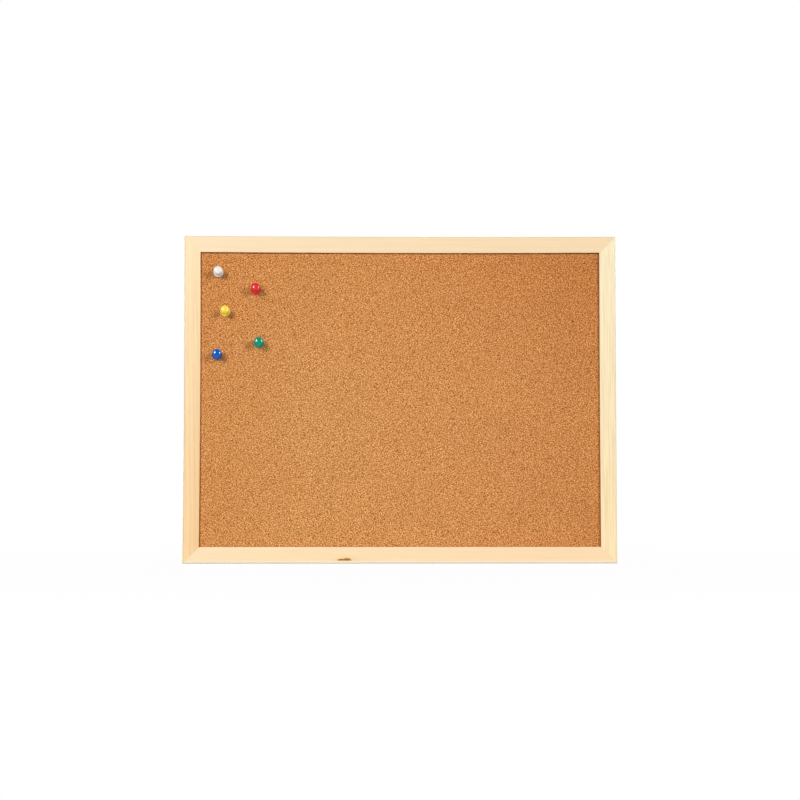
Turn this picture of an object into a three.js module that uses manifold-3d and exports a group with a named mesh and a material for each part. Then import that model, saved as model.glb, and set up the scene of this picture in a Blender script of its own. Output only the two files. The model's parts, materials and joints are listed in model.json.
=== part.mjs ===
// Cork pin board: a mitred and rebated pine frame around a cork-faced softboard panel,
// two ring hangers on the back and five push pins in the cork.
// Millimetres. +X right, +Z up, the cork faces -Y. The origin is the middle of the board
// on the plane of the frame's back, which is the plane of the wall.
import * as THREE from "three";
import { mergeVertices } from "three/addons/utils/BufferGeometryUtils.js";
import Module from "manifold-3d";

const wasm = await Module();
wasm.setup();

// Frame moulding
const BOARD_WIDTH = 398;
const BOARD_HEIGHT = 301;
const FACE_WIDTH = 15;
const LIP_THICKNESS = 2.6;
const LIP_OVERHANG = 4;
const OUTER_ARRIS = 1.4;
const SIGHT_ARRIS = 0.4;
const BACK_RECESS = 3.6;
const GLUE_LINE = 0.1;

// Panel, from the front to the back
const CORK_THICKNESS = 2;
const CORE_THICKNESS = 8.6;
const LINER_THICKNESS = 0.6;
const LIP_GAP = 0.2;
const PANEL_PLAY = 0.5;

// Corner nails: one folded strip across each mitre
const NAIL_LEG = 4.5;
const NAIL_STRIP = 0.6;
const NAIL_HEIGHT = 8;
const NAIL_SINK = 0.3;

// Framer's points that hold the panel in the rebate
const POINT_WIDTH = 6;
const POINT_THICKNESS = 0.5;
const POINT_EMBED = 5;
const POINT_REACH = 9;
const POINTS_PER_RAIL = 3;
const POINTS_PER_STILE = 2;

// Ring hangers
const HANGER_DROP = 42;
const STRAP_WIDTH = 7;
const STRAP_THICKNESS = 0.9;
const STRAP_END = 5;
const STRAP_CORNER = 2;
const EYE_SWEEP = 285;
const WIRE_DIAMETER = 1.6;
const RING_DROP = 10.5;
const RING_CORNER = 1.6;
const RING_SIDE_GAP = 0.6;
const RING_EDGE_GAP = 0.8;
const WIRE_BUTT_GAP = 0.5;
const SCREW_LENGTH = 11;
const SCREW_DIAMETER = 2.6;
const SCREW_TIP = 3;
const SCREW_HEAD_DIAMETER = 5.6;
const SCREW_HEAD_HEIGHT = 1.8;
const RING_TO_SCREW = 1;

// Push pins
const HEAD_HEIGHT = 12;
const FLANGE_DIAMETER = 9.5;
const FLANGE_THICKNESS = 1.5;
const WAIST_DIAMETER = 4.6;
const CAP_DIAMETER = 7.8;
const CAP_DEPTH = 3;
const CAP_EDGE = 1.1;
const CAP_DOME_RADIUS = 8.5;
const NEEDLE_DIAMETER = 1.1;
const NEEDLE_OUT = 9.4;
const NEEDLE_IN = 8;
const NEEDLE_TAPER = 3;

// Where each pin stands: right of and below the top left corner of the open cork,
// and how far its outer end leans up and to the right, in degrees
const PINS = [
  { name: "white", right: 16.3, below: 18.6, up: 3.5, side: 2.5, colour: 0xe9ebe6 },
  { name: "red", right: 50.9, below: 34.7, up: 7.5, side: 1.5, colour: 0xc8102e },
  { name: "yellow", right: 22.8, below: 55, up: 4.7, side: 2.5, colour: 0xf2cf1d },
  { name: "green", right: 53.9, below: 83.9, up: 4, side: 2, colour: 0x0b8f6a },
  { name: "blue", right: 15.5, below: 94.9, up: 4.5, side: 4, colour: 0x1450a8 },
];

// Fits
const CUT_GAP = 0.3;
const SEAT_GAP = 0.1;

// Values that follow from the sizes above; y runs from the front to the back
const LAND = FACE_WIDTH - LIP_OVERHANG;
const LINER_BACK = -BACK_RECESS;
const CORE_BACK = LINER_BACK - LINER_THICKNESS;
const CORK_BACK = CORE_BACK - CORE_THICKNESS;
const CORK_FRONT = CORK_BACK - CORK_THICKNESS;
const LIP_BACK = CORK_FRONT - LIP_GAP;
const FRAME_FRONT = LIP_BACK - LIP_THICKNESS;
const FRAME_DEPTH = -FRAME_FRONT;
const WIRE_RADIUS = WIRE_DIAMETER / 2;
const EYE_INNER = WIRE_RADIUS + CUT_GAP;
const EYE_OUTER = EYE_INNER + STRAP_THICKNESS;
const RING_HALF = STRAP_WIDTH / 2 + RING_SIDE_GAP + WIRE_RADIUS;
const SCREW_DROP = RING_DROP + WIRE_RADIUS + RING_TO_SCREW + SCREW_HEAD_DIAMETER / 2;
const STRAP_LENGTH = SCREW_DROP + STRAP_END;
const HANGER_X = BOARD_WIDTH / 2 - RING_EDGE_GAP - RING_HALF - WIRE_RADIUS;
const HANGER_Z = BOARD_HEIGHT / 2 - HANGER_DROP;

const X_AXIS = new THREE.Vector3(1, 0, 0);
const Y_AXIS = new THREE.Vector3(0, 1, 0);
const Z_AXIS = new THREE.Vector3(0, 0, 1);

// Finishes
const finish = (colour, roughness, metalness) =>
  new THREE.MeshStandardMaterial({ color: colour, roughness, metalness });
const pine = () => finish(0xf3d9ab, 0.55, 0);
const steel = () => finish(0xc4c8cc, 0.3, 1);
const zincPlate = () => finish(0xb7bcc0, 0.4, 1);

// A closed solid from a geometry
function solidOf(geometry) {
  const bare = geometry.clone();
  bare.deleteAttribute("normal");
  bare.deleteAttribute("uv");
  const welded = mergeVertices(bare, 1e-4);
  return new wasm.Manifold(
    new wasm.Mesh({
      numProp: 3,
      vertProperties: new Float32Array(welded.attributes.position.array),
      triVerts: new Uint32Array(welded.index.array),
    }),
  );
}

// A geometry from a closed solid
function geometryOf(solid) {
  const mesh = solid.getMesh();
  const indexed = new THREE.BufferGeometry();
  indexed.setAttribute("position", new THREE.BufferAttribute(mesh.vertProperties, 3));
  indexed.setIndex(new THREE.BufferAttribute(mesh.triVerts, 1));
  const flat = indexed.toNonIndexed();
  flat.computeVertexNormals();
  return flat;
}

// A geometry with each cutter taken out of it
function cutOut(geometry, cutters) {
  let solid = solidOf(geometry);
  for (const cutter of cutters) solid = solid.subtract(solidOf(cutter));
  return geometryOf(solid);
}

// An outline given as corner points
function outline(corners) {
  return new THREE.Shape(corners.map(([x, y]) => new THREE.Vector2(x, y)));
}

// A section drawn in (y, z), drawn out along X and centred on x = 0
function bar(section, length, curveSegments = 6) {
  const settings = { depth: length, bevelEnabled: false, curveSegments };
  const geometry = new THREE.ExtrudeGeometry(section, settings);
  const turn = new THREE.Matrix4().makeBasis(Y_AXIS, Z_AXIS, X_AXIS);
  return geometry.applyMatrix4(turn).translate(-length / 2, 0, 0);
}

// An outline drawn in (x, z), as thick as the space from yFront to yBack
function slab(shape, yFront, yBack, curveSegments = 6) {
  const settings = { depth: yBack - yFront, bevelEnabled: false, curveSegments };
  const geometry = new THREE.ExtrudeGeometry(shape, settings);
  const turn = new THREE.Matrix4().makeBasis(X_AXIS, Z_AXIS, Y_AXIS.clone().negate());
  return geometry.applyMatrix4(turn).translate(0, yBack, 0);
}

// A profile of (radius, height) points turned about the Y axis, lowest point first
function turned(profile, segments) {
  const points = profile.map(([radius, height]) => new THREE.Vector2(radius, height));
  return new THREE.LatheGeometry(points, segments);
}

function piece(name, geometry, material) {
  const mesh = new THREE.Mesh(geometry, material);
  mesh.name = name;
  return mesh;
}

// Section of the moulding: x is the depth from the front, y the way in from the outside
function mouldingSection() {
  const outer = Math.min(OUTER_ARRIS, LAND / 2);
  const sight = Math.min(SIGHT_ARRIS, LIP_THICKNESS / 2);
  const section = new THREE.Shape();
  section.moveTo(FRAME_DEPTH, 0);
  section.lineTo(FRAME_DEPTH, LAND);
  section.lineTo(LIP_THICKNESS, LAND);
  section.lineTo(LIP_THICKNESS, FACE_WIDTH);
  section.lineTo(sight, FACE_WIDTH);
  section.absarc(sight, FACE_WIDTH - sight, sight, Math.PI / 2, Math.PI, false);
  section.lineTo(0, outer);
  section.absarc(outer, outer, outer, Math.PI, 1.5 * Math.PI, false);
  section.closePath();
  return section;
}

// Each frame member is drawn as the bottom rail: its outside lies at z = -reach

// A corner nail at the left (1) or right (-1) end of a member: an L, one leg in each member
function cornerNail(length, reach, end, grow) {
  const half = NAIL_STRIP / 2 + grow;
  const leg = NAIL_LEG + grow;
  const at = LAND / 3;
  const shape = outline([
    [-half * end, -half],
    [leg * end, -half],
    [leg * end, half],
    [half * end, half],
    [half * end, leg],
    [-half * end, leg],
  ]);
  const back = grow > 0 ? 1 : -NAIL_SINK;
  const geometry = slab(shape, -NAIL_SINK - NAIL_HEIGHT - grow, back);
  return geometry.translate(end * (at - length / 2), 0, at - reach);
}

// A framer's point at x along a member: a flat dart with its tip in the wood
function framerPoint(x, reach, grow) {
  const half = POINT_WIDTH / 2 + grow;
  const shoulder = LAND - POINT_EMBED * 0.45;
  const free = LAND + POINT_REACH;
  const shape = outline([
    [-half, shoulder],
    [0, LAND - POINT_EMBED - 1.5 * grow],
    [half, shoulder],
    [half, free - half * 0.4],
    [half * 0.6, free],
    [-half * 0.6, free],
    [-half, free - half * 0.4],
  ]);
  const front = LINER_BACK + SEAT_GAP;
  const geometry = slab(shape, front - grow, front + POINT_THICKNESS + grow);
  return geometry.translate(x, 0, -reach);
}

// The points of a member stand at the middles of equal lengths of its open side
function pointPlaces(length, count) {
  const open = length - 2 * FACE_WIDTH;
  return Array.from({ length: count }, (unused, i) => ((i + 0.5) / count - 0.5) * open);
}

// The hole for a hanger screw, at x along a member
function screwHole(x) {
  const radius = SCREW_DIAMETER / 2 + CUT_GAP;
  const bottom = -SCREW_LENGTH - CUT_GAP;
  const profile = [[0, bottom], [radius, bottom + SCREW_TIP], [radius, 1], [0, 1]];
  return turned(profile, 16).translate(x, 0, -HANGER_X);
}

// A length of moulding, mitred at both ends, with the seats of its nails, points and screws
function frameMember(length, reach, pointCount, screwPlaces) {
  const blank = bar(mouldingSection(), length, 5).translate(0, FRAME_FRONT, -reach);
  const end = length / 2 - (GLUE_LINE / 2) * Math.SQRT2;
  const past = FACE_WIDTH + 1;
  const mitre = outline([
    [-end - 1, -reach - 1],
    [end + 1, -reach - 1],
    [end - past, -reach + past],
    [-end + past, -reach + past],
  ]);
  const kept = slab(mitre, FRAME_FRONT - 1, 1);
  const mitred = geometryOf(solidOf(blank).intersect(solidOf(kept)));
  return cutOut(mitred, [
    cornerNail(length, reach, 1, CUT_GAP),
    cornerNail(length, reach, -1, CUT_GAP),
    ...pointPlaces(length, pointCount).map((x) => framerPoint(x, reach, CUT_GAP)),
    ...screwPlaces.map(screwHole),
  ]);
}

// The four sides in turn, each with the nail at its left end and its own points
function frame() {
  const sides = [
    { side: "bottom", member: "bottom_rail", corner: "bottom_left", rail: true, screws: [] },
    { side: "right", member: "right_stile", corner: "bottom_right", rail: false, screws: [1] },
    { side: "top", member: "top_rail", corner: "top_right", rail: true, screws: [] },
    { side: "left", member: "left_stile", corner: "top_left", rail: false, screws: [-1] },
  ];
  const group = new THREE.Group();
  sides.forEach(({ side, member, corner, rail, screws }, turn) => {
    const length = rail ? BOARD_WIDTH : BOARD_HEIGHT;
    const reach = rail ? BOARD_HEIGHT / 2 : BOARD_WIDTH / 2;
    const count = rail ? POINTS_PER_RAIL : POINTS_PER_STILE;
    const screwPlaces = screws.map((way) => way * (HANGER_Z - SCREW_DROP));
    const run = new THREE.Group();
    run.rotation.y = (-turn * Math.PI) / 2;
    run.add(piece(member, frameMember(length, reach, count, screwPlaces), pine()));
    run.add(piece(`corner_nail_${corner}`, cornerNail(length, reach, 1, 0), steel()));
    pointPlaces(length, count).forEach((x, i) => {
      run.add(piece(`framer_point_${side}_${i + 1}`, framerPoint(x, reach, 0), zincPlate()));
    });
    group.add(run);
  });
  return group;
}

// The head of a push pin: flange, waist and cap, with the needle's bore from below. The
// cap's edge runs on into a shallow dome: both arcs share a tangent where they meet.
function pinHead() {
  const bore = NEEDLE_DIAMETER / 2 + SEAT_GAP;
  const flange = FLANGE_DIAMETER / 2;
  const rim = FLANGE_THICKNESS / 2;
  const waist = WAIST_DIAMETER / 2;
  const cap = CAP_DIAMETER / 2;
  const edge = Math.min(CAP_EDGE, CAP_DEPTH / 2);
  const capFoot = HEAD_HEIGHT - CAP_DEPTH;
  const waistHeight = FLANGE_THICKNESS + (capFoot - FLANGE_THICKNESS) * 0.45;
  const dome = Math.max(CAP_DOME_RADIUS, cap);
  const lean = Math.asin((cap - edge) / (dome - edge));
  const shoulder = HEAD_HEIGHT - dome + (dome - edge) * Math.cos(lean);
  const path = new THREE.Path();
  path.moveTo(0, NEEDLE_IN + SEAT_GAP);
  path.lineTo(bore, NEEDLE_IN + SEAT_GAP);
  path.lineTo(bore, 0);
  path.lineTo(flange - rim, 0);
  path.absarc(flange - rim, rim, rim, -Math.PI / 2, Math.PI / 2, false);
  path.quadraticCurveTo(waist + 0.3, FLANGE_THICKNESS + 0.5, waist, waistHeight);
  path.quadraticCurveTo(waist + 0.1, capFoot - 0.6, cap - edge * 0.4, capFoot);
  path.quadraticCurveTo(cap, capFoot + 0.2, cap, capFoot + edge * 0.6);
  path.lineTo(cap, shoulder);
  path.absarc(cap - edge, shoulder, edge, 0, Math.PI / 2 - lean, false);
  path.quadraticCurveTo(dome * Math.tan(lean / 2), HEAD_HEIGHT, 0, HEAD_HEIGHT);
  return turned(path.getPoints(3).map((point) => [point.x, point.y]), 24);
}

// The needle, or the hole around it when grown: tip below, shank up into the head
function pinNeedle(grow, topHeight) {
  const radius = NEEDLE_DIAMETER / 2 + grow;
  const profile = [
    [0, -NEEDLE_OUT - grow],
    [radius, NEEDLE_TAPER - NEEDLE_OUT],
    [radius, topHeight],
    [0, topHeight],
  ];
  return turned(profile, 14);
}

// Where a pin stands: the middle of its needle where it leaves the cork, the turn that
// carries the needle's Y axis outwards, and how far the tilted flange stands off
function pinSeat(pin) {
  const up = THREE.MathUtils.degToRad(pin.up);
  const side = THREE.MathUtils.degToRad(pin.side);
  const x = pin.right - BOARD_WIDTH / 2 + FACE_WIDTH;
  const z = BOARD_HEIGHT / 2 - FACE_WIDTH - pin.below;
  const tilt = Math.acos(Math.cos(up) * Math.cos(side));
  const flange = FLANGE_DIAMETER / 2;
  return {
    place: new THREE.Vector3(x, CORK_FRONT, z),
    turn: new THREE.Euler(Math.PI - up, 0, side, "ZYX"),
    standOff: (CUT_GAP + flange * Math.sin(tilt)) / Math.cos(tilt),
  };
}

function needleHole(pin) {
  const { place, turn, standOff } = pinSeat(pin);
  const matrix = new THREE.Matrix4().makeRotationFromEuler(turn).setPosition(place);
  return pinNeedle(CUT_GAP, NEEDLE_TAPER).translate(0, standOff, 0).applyMatrix4(matrix);
}

function pushPin(pin) {
  const { place, turn, standOff } = pinSeat(pin);
  const group = new THREE.Group();
  group.position.copy(place);
  group.rotation.copy(turn);
  const head = piece(`pin_head_${pin.name}`, pinHead(), finish(pin.colour, 0.15, 0));
  const needle = piece(`pin_needle_${pin.name}`, pinNeedle(0, NEEDLE_IN), steel());
  head.position.y = standOff;
  needle.position.y = standOff;
  group.add(head, needle);
  return group;
}

// The panel: cork, core and liner, each drilled where the needles stand
function panel() {
  const width = BOARD_WIDTH - 2 * (LAND + PANEL_PLAY);
  const height = BOARD_HEIGHT - 2 * (LAND + PANEL_PLAY);
  const rectangle = outline([
    [-width / 2, -height / 2],
    [width / 2, -height / 2],
    [width / 2, height / 2],
    [-width / 2, height / 2],
  ]);
  const holes = PINS.map(needleHole);
  const sheet = (front, back) => cutOut(slab(rectangle, front, back), holes);
  const group = new THREE.Group();
  group.add(piece("cork_sheet", sheet(CORK_FRONT, CORK_BACK), finish(0xc88a50, 0.85, 0)));
  group.add(piece("softboard_core", sheet(CORK_BACK, CORE_BACK), finish(0xa6865c, 0.95, 0)));
  group.add(piece("kraft_liner", sheet(CORE_BACK, LINER_BACK), finish(0xb48d5e, 0.8, 0)));
  return group;
}

// The strap of a hanger: a plate on the wood whose top end is rolled into an eye
function hangerStrap() {
  const axis = EYE_OUTER;
  const last = Math.PI - THREE.MathUtils.degToRad(EYE_SWEEP);
  const section = new THREE.Shape();
  section.moveTo(0, -STRAP_LENGTH);
  section.lineTo(0, 0);
  section.absarc(axis, 0, EYE_OUTER, Math.PI, last, true);
  section.absarc(axis, 0, EYE_INNER, last, Math.PI, false);
  section.lineTo(STRAP_THICKNESS, -STRAP_LENGTH);
  section.closePath();
  const half = STRAP_WIDTH / 2;
  const corner = Math.min(STRAP_CORNER, half);
  const plan = new THREE.Shape();
  plan.moveTo(-half, EYE_OUTER + 1);
  plan.lineTo(-half, corner - STRAP_LENGTH);
  plan.absarc(corner - half, corner - STRAP_LENGTH, corner, Math.PI, 1.5 * Math.PI, false);
  plan.absarc(half - corner, corner - STRAP_LENGTH, corner, 1.5 * Math.PI, 2 * Math.PI, false);
  plan.lineTo(half, EYE_OUTER + 1);
  plan.closePath();
  const rolled = solidOf(bar(section, STRAP_WIDTH + 2, 10));
  const trimmed = rolled.intersect(solidOf(slab(plan, -1, 2 * EYE_OUTER + 1, 5)));
  const radius = SCREW_DIAMETER / 2 + CUT_GAP;
  const above = STRAP_THICKNESS + 1;
  const hole = turned([[0, -1], [radius, -1], [radius, above], [0, above]], 16);
  return geometryOf(trimmed.subtract(solidOf(hole.translate(0, 0, -SCREW_DROP))));
}

// A flat wire line, drawn in (x, z)
class WireLine extends THREE.Curve {
  constructor(path) {
    super();
    this.path = path;
  }

  getPoint(t, target = new THREE.Vector3()) {
    const point = this.path.getPointAt(t);
    return target.set(point.x, 0, point.y);
  }
}

// The hanging ring: wire bent to a D, its two ends butted together inside the strap's eye
function hangingRing() {
  const corner = RING_CORNER;
  const bend = Math.max(RING_DROP - RING_HALF, corner);
  const path = new THREE.Path();
  path.moveTo(WIRE_BUTT_GAP / 2, 0);
  path.lineTo(RING_HALF - corner, 0);
  path.absarc(RING_HALF - corner, -corner, corner, Math.PI / 2, 0, true);
  path.absarc(0, -bend, RING_HALF, 0, -Math.PI, true);
  path.absarc(corner - RING_HALF, -corner, corner, Math.PI, Math.PI / 2, true);
  path.lineTo(-WIRE_BUTT_GAP / 2, 0);
  const wire = new THREE.Shape();
  wire.absarc(0, 0, WIRE_RADIUS, 0, 2 * Math.PI, false);
  const settings = { steps: 44, curveSegments: 4, extrudePath: new WireLine(path) };
  return new THREE.ExtrudeGeometry(wire, settings);
}

// A round-headed wood screw along Y, its head on the strap
function hangerScrew() {
  const shank = SCREW_DIAMETER / 2;
  const head = SCREW_HEAD_DIAMETER / 2;
  const seat = STRAP_THICKNESS + SEAT_GAP;
  const path = new THREE.Path();
  path.moveTo(0, -SCREW_LENGTH);
  path.lineTo(shank, SCREW_TIP - SCREW_LENGTH);
  path.lineTo(shank, seat);
  path.lineTo(head, seat);
  path.lineTo(head, seat + SCREW_HEAD_HEIGHT * 0.25);
  const top = seat + SCREW_HEAD_HEIGHT;
  path.quadraticCurveTo(head * 0.85, top, 0, top);
  return turned(path.getPoints(6).map((point) => [point.x, point.y]), 20);
}

function hanger(side, way) {
  const group = new THREE.Group();
  group.position.set(way * HANGER_X, 0, HANGER_Z);
  const ring = piece(`hanging_ring_${side}`, hangingRing(), zincPlate());
  const screw = piece(`hanger_screw_${side}`, hangerScrew(), zincPlate());
  ring.position.y = EYE_OUTER;
  screw.position.z = -SCREW_DROP;
  group.add(piece(`hanger_strap_${side}`, hangerStrap(), zincPlate()), ring, screw);
  return group;
}

const board = new THREE.Group();
board.name = "pin_badge_board";
board.add(frame(), panel());
board.add(hanger("left", -1), hanger("right", 1));
PINS.forEach((pin) => board.add(pushPin(pin)));

export default board;
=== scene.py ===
"""Looks of a framed cork pin board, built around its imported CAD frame.

Every piece is a surface worked out as whole arrays: an outline carried along a path, a
profile turned about an axis, or a height over a lattice. Lengths are in metres, in the
frame's own axes: +X right, +Z up, the cork faces -Y.
"""

import json
import math

import bpy
import numpy as np
from bpy.props import FloatProperty, IntProperty, PointerProperty, StringProperty
from bpy.types import Operator, Panel, PropertyGroup
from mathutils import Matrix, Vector


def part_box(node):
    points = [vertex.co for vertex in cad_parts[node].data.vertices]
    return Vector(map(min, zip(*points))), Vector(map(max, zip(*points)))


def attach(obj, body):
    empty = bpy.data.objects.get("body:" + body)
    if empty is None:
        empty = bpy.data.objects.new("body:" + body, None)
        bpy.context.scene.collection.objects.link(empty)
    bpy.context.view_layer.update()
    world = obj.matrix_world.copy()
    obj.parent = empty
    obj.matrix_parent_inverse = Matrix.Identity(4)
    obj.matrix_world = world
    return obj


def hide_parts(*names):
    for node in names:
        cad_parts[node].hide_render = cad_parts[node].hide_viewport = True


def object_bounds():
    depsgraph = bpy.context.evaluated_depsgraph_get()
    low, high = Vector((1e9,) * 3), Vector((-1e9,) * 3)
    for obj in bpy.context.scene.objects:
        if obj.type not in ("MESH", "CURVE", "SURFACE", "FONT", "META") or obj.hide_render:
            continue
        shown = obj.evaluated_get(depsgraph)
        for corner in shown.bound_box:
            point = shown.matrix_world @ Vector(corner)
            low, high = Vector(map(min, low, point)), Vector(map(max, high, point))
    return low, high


bl_info = {
    "name": "Pin board looks",
    "version": (1, 0, 0),
    "blender": (4, 5, 0),
    "location": "View3D > Sidebar > Pin board",
    "description": "Builds the finished pieces of a framed cork pin board on its CAD frame",
    "category": "Object",
}

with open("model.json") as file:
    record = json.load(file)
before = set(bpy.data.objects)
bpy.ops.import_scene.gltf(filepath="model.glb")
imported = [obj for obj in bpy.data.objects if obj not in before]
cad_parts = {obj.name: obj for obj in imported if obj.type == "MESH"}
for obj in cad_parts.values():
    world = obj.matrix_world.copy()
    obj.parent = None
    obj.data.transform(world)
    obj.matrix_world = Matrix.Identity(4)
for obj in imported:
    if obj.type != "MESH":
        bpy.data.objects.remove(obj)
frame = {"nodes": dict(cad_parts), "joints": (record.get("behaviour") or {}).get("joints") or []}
CAD_BOX = [list(corner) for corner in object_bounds()]
MM = 0.001


def node_box(name):
    """Lowest and highest corner of a CAD node, as arrays."""
    low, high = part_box(name)
    return np.array(low), np.array(high)


def node_points(name):
    """All corner points of a CAD node, as an array of rows."""
    vertices = frame["nodes"][name].data.vertices
    flat = np.empty(len(vertices) * 3)
    vertices.foreach_get("co", flat)
    return flat.reshape(-1, 3)


RAIL_LOW, RAIL_HIGH = node_box("bottom_rail")
CORK_LOW, CORK_HIGH = node_box("cork_sheet")
LINER_LOW, LINER_HIGH = node_box("kraft_liner")
BOARD_LOW, BOARD_HIGH = np.array(CAD_BOX[0]), np.array(CAD_BOX[1])
FACE = RAIL_HIGH[2] - RAIL_LOW[2]
LIP_GAP = 0.2 * MM
NEEDLE_RADIUS = 0.55 * MM
PIN_COLOURS = ("white", "red", "yellow", "green", "blue")


def length_prop(name, description, millimetres):
    """A length the user may change, given here in millimetres."""
    return FloatProperty(
        name=name, description=description, default=millimetres * MM, min=0.0, precision=5,
        subtype="DISTANCE", unit="LENGTH",
    )


def colour_prop(name, description, hex_text):
    """A colour the user may change, as sRGB hex text."""
    return StringProperty(name=name, description=description, default=hex_text)


class PinBoardSizes(PropertyGroup):
    """Sizes of the detail that the looks add to the CAD frame."""

    arris: length_prop("Arris", "Radius of the moulding's outer front edge", 1.4)
    sight_arris: length_prop("Sight arris", "Radius of its inner front edge", 0.4)
    back_arris: length_prop("Back arris", "Radius of the moulding's back edges", 0.4)
    lip: length_prop("Lip", "Wood in front of the cork", (CORK_LOW[1] - RAIL_LOW[1] - LIP_GAP) / MM)
    overhang: length_prop("Overhang", "How far the lip covers the panel", 4.0)
    glue_line: length_prop("Glue line", "Gap across a mitre", 0.02)
    mitre_ease: length_prop("Mitre ease", "Softening of the mitres' edges", 0.06)
    rail_bow: length_prop("Rail bow", "Inward bow of the top rail's outer edge", 0.5)
    sight_bow: length_prop("Sight bow", "Inward bow of the top rail's inner edge", 0.6)
    granule: length_prop("Granule", "Width of a cork granule", 0.48)
    relief: length_prop("Cork relief", "Height of the cork's unevenness", 0.09)
    lattice: length_prop("Cork lattice", "Spacing of the cork surface's points", 1.35)
    flange_edge: length_prop("Flange edge", "Thickness of a flange at its rim", 0.75)
    flange_corner: length_prop("Flange corner", "Radius of a flange's edges", 0.3)
    waist: length_prop("Waist", "Diameter of a pin's waist", 4.6)
    cap: length_prop("Cap", "Diameter of a pin's cap", 7.8)
    cap_depth: length_prop("Cap depth", "Depth of a pin's cap", 3.0)
    cap_edge: length_prop("Cap edge", "Radius of a cap's outer edge", 1.1)
    cap_dome: length_prop("Cap dome", "Radius of a cap's domed end", 8.5)
    strap: length_prop("Strap", "Thickness of a hanger's strap", 0.9)
    strap_corner: length_prop("Strap corner", "Radius of a strap's corners", 2.0)
    recess: length_prop("Recess", "Depth of a screw's cross recess", 1.0)
    turn_steps: IntProperty(
        name="Turn steps", description="Faces round a turned piece", default=72, min=24
    )


class PinBoardColours(PropertyGroup):
    """Colours of the finishes, as sRGB hex text."""

    pine_top_left: colour_prop("Top rail, left", "Pine at that end", "#FBE2BA")
    pine_top_right: colour_prop("Top rail, right", "Pine at that end", "#F6D9AF")
    pine_bottom_left: colour_prop("Bottom rail, left", "Pine at that end", "#FBE1B8")
    pine_bottom_right: colour_prop("Bottom rail, right", "Pine at that end", "#FADCB0")
    pine_left_top: colour_prop("Left stile, top", "Pine at that end", "#FFE6B8")
    pine_left_bottom: colour_prop("Left stile, bottom", "Pine at that end", "#FED8A2")
    pine_right_top: colour_prop("Right stile, top", "Pine at that end", "#FFF2CE")
    pine_right_bottom: colour_prop("Right stile, bottom", "Pine at that end", "#FFE8B8")
    pine_late: colour_prop("Late wood", "Tint of the darker growth rings", "#EFC48C")
    knot: colour_prop("Knot", "Heart of the knot", "#985500")
    # painted light and shade on the bottom rail's lower edge: a pale band painted as if lit from
    # the floor below, and a dark line painted as the contact shadow where the board stands
    floor_light_band: colour_prop("Painted floor light", "Lower edge, painted pale as if lit from the floor", "#FFF1DC")
    contact_shadow: colour_prop("Painted contact shadow", "Line the board stands on", "#8F8878")
    bark: colour_prop("Bark", "Specks among the granules", "#8A3A00")
    fleck: colour_prop("Fleck", "Rare pale granules", "#FFCF8E")
    cork_dark: colour_prop("Dark cork", "Brownest granules", "#C17D41")
    cork_brown: colour_prop("Brown cork", "Brownish granules", "#CA8544")
    cork_mid: colour_prop("Cork", "Middling granules", "#DB9957")
    cork_tan: colour_prop("Tan cork", "Paler granules", "#E7AA6B")
    cork_light: colour_prop("Light cork", "Palest granules", "#E9B377")
    kraft: colour_prop("Kraft paper", "Backing paper", "#B58E62")
    kraft_dark: colour_prop("Kraft paper, dark", "Its darker hairs", "#9C764C")
    softboard: colour_prop("Softboard", "Wood fibre core", "#9F7F58")
    softboard_dark: colour_prop("Softboard, dark", "Its darker fibres", "#7E6140")
    zinc: colour_prop("Zinc plate", "Bright plating on steel", "#C3C6C8")
    zinc_dark: colour_prop("Zinc plate, dark", "Its duller spangle", "#A6AAAD")
    strip_dark: colour_prop("Zinc strip, dark", "Its duller spangle", "#9A9EA1")
    nail: colour_prop("Blued steel", "Corner nails", "#8F9296")
    nail_dark: colour_prop("Blued steel, dark", "Its darker patches", "#6E7276")
    needle: colour_prop("Steel", "Polished needle steel", "#CDD0D3")
    needle_dark: colour_prop("Steel, dark", "Its duller patches", "#B4B8BC")
    pin_white: colour_prop("White pin", "Moulded plastic", "#EFEEE9")
    pin_red: colour_prop("Red pin", "Moulded plastic", "#E63234")
    pin_yellow: colour_prop("Yellow pin", "Moulded plastic", "#FFDE4A")
    pin_green: colour_prop("Green pin", "Moulded plastic", "#069B79")
    pin_blue: colour_prop("Blue pin", "Moulded plastic", "#0A5FBE")
    floor: colour_prop("Floor", "Studio paper at the board", "#C4C4C2")
    floor_front: colour_prop("Floor, front", "Studio paper further forward", "#A4A4A2")


def sizes():
    return bpy.context.scene.pin_board_sizes


def colours():
    return bpy.context.scene.pin_board_colours


# Colour and shader nodes


def linear(hex_text):
    """sRGB hex text as linear red, green, blue and an alpha of one."""
    srgb = np.array([int(hex_text[i : i + 2], 16) for i in (1, 3, 5)]) / 255
    rgb = np.where(srgb <= 0.04045, srgb / 12.92, ((srgb + 0.055) / 1.055) ** 2.4)
    return (*rgb.tolist(), 1.0)


def feed(tree, node, inputs):
    """Fills a node's sockets, by name or number, each with a plain value, another node's
    output, or another node, which stands for its first output in use."""
    for key, value in inputs.items():
        if isinstance(value, bpy.types.Node):
            value = next(socket for socket in value.outputs if socket.enabled)
        if isinstance(value, bpy.types.NodeSocket):
            tree.links.new(value, node.inputs[key])
        else:
            node.inputs[key].default_value = value


def add(tree, kind, inputs=None, stops=None, **options):
    """Adds a shader node with its settings and feeds its sockets; stops are a ramp's
    (place, colour) pairs."""
    made = tree.nodes.new("ShaderNode" + kind)
    for key, value in options.items():
        setattr(made, key, value)
    feed(tree, made, inputs or {})
    if stops:
        elements = made.color_ramp.elements
        while len(elements) < len(stops):
            elements.new(1.0)
        for element, (place, colour) in zip(elements, stops):
            element.position = place
            element.color = colour
    return made


def new_material(name, shader_values):
    """A material with one Principled shader; returns it, its tree and the shader."""
    material = bpy.data.materials.new(name)
    material.use_nodes = True
    tree = material.node_tree
    tree.nodes.clear()
    shader = add(tree, "BsdfPrincipled", shader_values)
    add(tree, "OutputMaterial", {"Surface": shader})
    return material, tree, shader


def grey(value):
    return (value, value, value, 1.0)


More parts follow.
